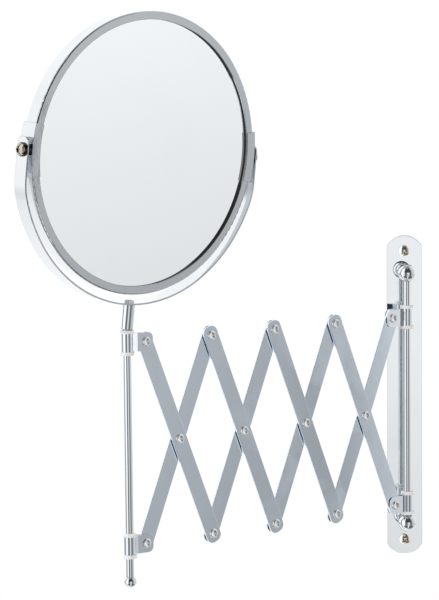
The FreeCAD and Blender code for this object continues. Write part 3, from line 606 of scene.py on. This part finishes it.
def studio_world():
    """A white studio with soft boxes and dark flags for metal to reflect, plain white behind the object."""
    world = bpy.data.worlds.new("Studio")
    world.use_nodes = True
    tree = world.node_tree
    brightest = max(level for _, level in STUDIO_RING)
    ring = ramp(tree, [((a + 180) / 360, level) for a, level in STUDIO_RING], brightest)
    heights = ramp(tree, [((e + 90) / 180, level) for e, level in STUDIO_HEIGHTS], 1.0)
    parts = add(tree, "ShaderNodeSeparateXYZ")
    outward = add(tree, "ShaderNodeMath", operation="MULTIPLY")
    outward.inputs[1].default_value = -1.0
    azimuth = add(tree, "ShaderNodeMath", operation="ARCTAN2")
    elevation = add(tree, "ShaderNodeMath", operation="ARCSINE")
    around = add(tree, "ShaderNodeMapRange", From_Min=-180.0, From_Max=180.0)
    rise = add(tree, "ShaderNodeMapRange", From_Min=-90.0, From_Max=90.0)
    wire(tree,
         (add(tree, "ShaderNodeTexCoord").outputs["Generated"], parts.inputs[0]),
         (parts.outputs["Y"], outward.inputs[0]),
         (parts.outputs["X"], azimuth.inputs[0]), (outward.outputs[0], azimuth.inputs[1]),
         (parts.outputs["Z"], elevation.inputs[0]))
    turn, height = (in_degrees(tree, node.outputs[0]) for node in (azimuth, elevation))
    light = add(tree, "ShaderNodeMath", operation="MULTIPLY")
    scaled = add(tree, "ShaderNodeMath", operation="MULTIPLY")
    scaled.inputs[1].default_value = brightest
    wire(tree,
         (turn, around.inputs["Value"]), (around.outputs[0], ring.inputs[0]),
         (height, rise.inputs["Value"]), (rise.outputs[0], heights.inputs[0]),
         (ring.outputs[0], light.inputs[0]), (heights.outputs[0], light.inputs[1]),
         (light.outputs[0], scaled.inputs[0]))
    strength = scaled.outputs[0]
    for left, right, bottom, top, blur, level in STUDIO_PANELS:
        panel = placed(tree, panel_group, Left=left, Right=right, Bottom=bottom, Top=top, Blur=blur)
        cover = add(tree, "ShaderNodeMix", data_type="FLOAT")
        cover.inputs[3].default_value = level
        wire(tree, (turn, panel.inputs["Azimuth"]), (height, panel.inputs["Elevation"]),
             (panel.outputs["Mask"], cover.inputs[0]), (strength, cover.inputs[2]))
        strength = cover.outputs[0]
    seen = add(tree, "ShaderNodeLightPath")
    choose = add(tree, "ShaderNodeMix", data_type="FLOAT")
    choose.inputs[3].default_value = 1.0
    wire(tree,
         (seen.outputs["Is Camera Ray"], choose.inputs[0]), (strength, choose.inputs[2]),
         (choose.outputs[0], tree.nodes["Background"].inputs["Strength"]))
    tree.nodes["Background"].inputs["Color"].default_value = (1, 1, 1, 1)
    return world


class SHAVING_OT_stage(Operator):
    """Makes the pale floor, the studio that the metal reflects and the soft overhead light"""

    bl_idname = "shaving.stage"
    bl_label = "Studio"

    def execute(self, context):
        sizes, low, high = context.scene.mirror_studio, *CAD_BOX
        middle = (low + high) / 2
        bpy.ops.mesh.primitive_circle_add(
            vertices=96, radius=sizes.floor_radius, fill_type="NGON",
            location=(middle.x, middle.y, low.z - sizes.floor_drop))
        floor = context.active_object
        floor.name = "studio_floor"
        material, tree, shader = new_material("Studio floor")
        grain = placed(tree, grain_group, Grain_scale=40.0)
        colour = context.scene.mirror_others.floor
        wire(tree, (mixed(tree, grain.outputs["Mask"], shade(colour, 0.99), colour),
                    shader.inputs["Base Color"]))
        shader.inputs["Roughness"].default_value = 0.9
        floor.data.materials.append(material)
        floor.visible_glossy = False

        context.scene.world = studio_world()
        lamp = bpy.data.lights.new("overhead_light", "SUN")
        lamp.energy = sizes.soft_light
        lamp.angle = math.radians(80)
        overhead = bpy.data.objects.new("overhead_light", lamp)
        overhead.rotation_euler = (math.radians(20), math.radians(-12), 0)
        overhead.visible_glossy = False
        context.scene.collection.objects.link(overhead)
        context.scene.view_settings.view_transform = "Standard"
        return {"FINISHED"}


class SHAVING_OT_camera(Operator):
    """Puts the camera in front of the mirror"""

    bl_idname = "shaving.camera"
    bl_label = "Camera"

    def execute(self, context):
        settings = context.scene.mirror_camera
        data = bpy.data.cameras.new("front_camera")
        data.lens = settings.lens
        data.sensor_width = SENSOR_WIDTH_MM
        data.clip_start = 0.05
        camera = bpy.data.objects.new("front_camera", data)
        camera.matrix_world = (
            Matrix.Translation(Vector(settings.place))
            @ Matrix.Rotation(-settings.yaw, 4, "Z")
            @ Matrix.Rotation(math.radians(90) - settings.pitch, 4, "X")
            @ Matrix.Rotation(-settings.roll, 4, "Z"))
        context.scene.collection.objects.link(camera)
        context.scene.camera = camera
        return {"FINISHED"}


# ---------------------------------------------------------------- panel and registration


PIECE_OPERATORS = (
    SHAVING_OT_wall_mount, SHAVING_OT_brackets, SHAVING_OT_links, SHAVING_OT_rivets, SHAVING_OT_stem,
    SHAVING_OT_head, SHAVING_OT_pivots, SHAVING_OT_stage, SHAVING_OT_camera,
)


class SHAVING_PT_panel(Panel):
    """Lists the mirror's pieces and its settings"""

    bl_idname = "SHAVING_PT_panel"
    bl_label = "Shaving Mirror"
    bl_space_type = "VIEW_3D"
    bl_region_type = "UI"
    bl_category = "Shaving Mirror"

    def draw(self, context):
        for operator in PIECE_OPERATORS:
            self.layout.operator(operator.bl_idname)
        for name, group in SETTINGS.items():
            box = self.layout.box()
            box.label(text=group.__doc__)
            for prop in group.__annotations__:
                box.prop(getattr(context.scene, name), prop)


SETTINGS = {
    "mirror_metals": MetalColours,
    "mirror_others": OtherColours,
    "mirror_studio": StudioSizes,
    "mirror_camera": CameraSettings,
}


def register():
    for group in SETTINGS.values():
        bpy.utils.register_class(group)
    for cls in (*PIECE_OPERATORS, SHAVING_PT_panel):
        bpy.utils.register_class(cls)
    for name, group in SETTINGS.items():
        setattr(bpy.types.Scene, name, PointerProperty(type=group))


def unregister():
    for name in SETTINGS:
        delattr(bpy.types.Scene, name)
    for cls in (SHAVING_PT_panel, *reversed(PIECE_OPERATORS), *SETTINGS.values()):
        bpy.utils.unregister_class(cls)


def main():
    register()
    for operator in PIECE_OPERATORS:
        group, name = operator.bl_idname.split(".")
        getattr(getattr(bpy.ops, group), name)()


if __name__ == "__main__":
    main()
